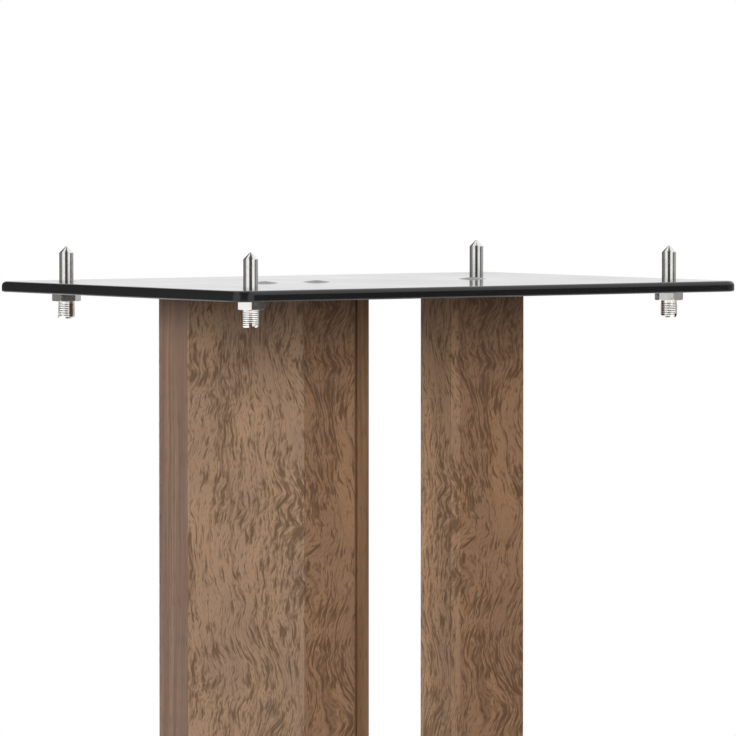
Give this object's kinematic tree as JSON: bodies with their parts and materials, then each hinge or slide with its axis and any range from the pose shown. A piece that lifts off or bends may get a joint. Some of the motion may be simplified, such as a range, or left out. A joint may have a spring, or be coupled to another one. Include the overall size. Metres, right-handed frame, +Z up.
{
  "type": "speaker stand",
  "caption": "Loudspeaker stand with wide and narrow veneered pillars between black steel plates, on adjustable pointed spikes above and below.",
  "frame": {"origin": "on the floor plane of the four floor points, under the centre of both plates", "axes": "+X the stand's right, +Y its rear (the wide pillar is in front, at -Y), +Z up"},
  "size_m": [0.3, 0.4, 0.6195],
  "materials": {
    "black_steel": "satin to gloss black powder coat on steel plate",
    "core_board": "raw fibre board, hidden inside the veneers",
    "walnut_figured": "figured walnut veneer under matt lacquer",
    "walnut_straight": "straight-grained walnut veneer under matt lacquer",
    "walnut_solid": "solid straight-grained walnut under matt lacquer",
    "black_screw": "black-coated socket screw",
    "zinc_steel": "zinc-plated steel, hidden",
    "polished_steel": "turned and polished steel, finely threaded at one end",
    "nickel_nut": "nickel-plated steel"
  },
  "bodies": {
    "stand": {"top_plate": "black_steel", "base_plate": "black_steel", "wide_pillar_core": "core_board", "wide_pillar_front_edge_veneer": "walnut_straight", "wide_pillar_lipping": "walnut_solid", "wide_pillar_left_face_veneer": "walnut_figured", "wide_pillar_right_face_veneer": "walnut_figured", "narrow_pillar_core": "core_board", "narrow_pillar_front_edge_veneer": "walnut_figured", "narrow_pillar_rear_edge_veneer": "walnut_figured", "narrow_pillar_left_face_veneer": "walnut_figured", "narrow_pillar_right_face_veneer": "walnut_figured", "top_plate_screws": "black_screw", "wide_pillar_top_inserts": "zinc_steel", "narrow_pillar_top_insert": "zinc_steel", "narrow_pillar_top_dowels": "zinc_steel", "base_plate_screws": "black_screw", "wide_pillar_base_inserts": "zinc_steel", "narrow_pillar_base_insert": "zinc_steel", "narrow_pillar_base_dowels": "zinc_steel"},
    "top_spike_front_left": {"top_spike_front_left": "polished_steel"},
    "top_locknut_front_left": {"top_locknut_front_left": "nickel_nut"},
    "floor_spike_front_left": {"floor_spike_front_left": "polished_steel"},
    "floor_locknut_front_left": {"floor_locknut_front_left": "nickel_nut"},
    "top_spike_front_right": {"top_spike_front_right": "polished_steel"},
    "top_locknut_front_right": {"top_locknut_front_right": "nickel_nut"},
    "floor_spike_front_right": {"floor_spike_front_right": "polished_steel"},
    "floor_locknut_front_right": {"floor_locknut_front_right": "nickel_nut"},
    "top_spike_rear_right": {"top_spike_rear_right": "polished_steel"},
    "top_locknut_rear_right": {"top_locknut_rear_right": "nickel_nut"},
    "floor_spike_rear_right": {"floor_spike_rear_right": "polished_steel"},
    "floor_locknut_rear_right": {"floor_locknut_rear_right": "nickel_nut"},
    "top_spike_rear_left": {"top_spike_rear_left": "polished_steel"},
    "top_locknut_rear_left": {"top_locknut_rear_left": "nickel_nut"},
    "floor_spike_rear_left": {"floor_spike_rear_left": "polished_steel"},
    "floor_locknut_rear_left": {"floor_locknut_rear_left": "nickel_nut"}
  },
  "joints": [
    {"name": "top_spike_front_left_travel", "type": "slide", "parent": "stand", "child": "top_spike_front_left", "axis": [0, 0, 1], "range_m": [0, 0.008]},
    {"name": "top_locknut_front_left_travel", "type": "slide", "parent": "stand", "child": "top_locknut_front_left", "axis": [0, 0, -1], "range_m": [0, 0.0015]},
    {"name": "floor_spike_front_left_travel", "type": "slide", "parent": "stand", "child": "floor_spike_front_left", "axis": [0, 0, -1], "range_m": [0, 0.006]},
    {"name": "floor_locknut_front_left_travel", "type": "slide", "parent": "stand", "child": "floor_locknut_front_left", "axis": [0, 0, 1], "range_m": [0, 0.0015]},
    {"name": "top_spike_front_right_travel", "type": "slide", "parent": "stand", "child": "top_spike_front_right", "axis": [0, 0, 1], "range_m": [0, 0.008]},
    {"name": "top_locknut_front_right_travel", "type": "slide", "parent": "stand", "child": "top_locknut_front_right", "axis": [0, 0, -1], "range_m": [0, 0.0015]},
    {"name": "floor_spike_front_right_travel", "type": "slide", "parent": "stand", "child": "floor_spike_front_right", "axis": [0, 0, -1], "range_m": [0, 0.006]},
    {"name": "floor_locknut_front_right_travel", "type": "slide", "parent": "stand", "child": "floor_locknut_front_right", "axis": [0, 0, 1], "range_m": [0, 0.0015]},
    {"name": "top_spike_rear_right_travel", "type": "slide", "parent": "stand", "child": "top_spike_rear_right", "axis": [0, 0, 1], "range_m": [0, 0.008]},
    {"name": "top_locknut_rear_right_travel", "type": "slide", "parent": "stand", "child": "top_locknut_rear_right", "axis": [0, 0, -1], "range_m": [0, 0.0015]},
    {"name": "floor_spike_rear_right_travel", "type": "slide", "parent": "stand", "child": "floor_spike_rear_right", "axis": [0, 0, -1], "range_m": [0, 0.006]},
    {"name": "floor_locknut_rear_right_travel", "type": "slide", "parent": "stand", "child": "floor_locknut_rear_right", "axis": [0, 0, 1], "range_m": [0, 0.0015]},
    {"name": "top_spike_rear_left_travel", "type": "slide", "parent": "stand", "child": "top_spike_rear_left", "axis": [0, 0, 1], "range_m": [0, 0.008]},
    {"name": "top_locknut_rear_left_travel", "type": "slide", "parent": "stand", "child": "top_locknut_rear_left", "axis": [0, 0, -1], "range_m": [0, 0.0015]},
    {"name": "floor_spike_rear_left_travel", "type": "slide", "parent": "stand", "child": "floor_spike_rear_left", "axis": [0, 0, -1], "range_m": [0, 0.006]},
    {"name": "floor_locknut_rear_left_travel", "type": "slide", "parent": "stand", "child": "floor_locknut_rear_left", "axis": [0, 0, 1], "range_m": [0, 0.0015]}
  ]
}
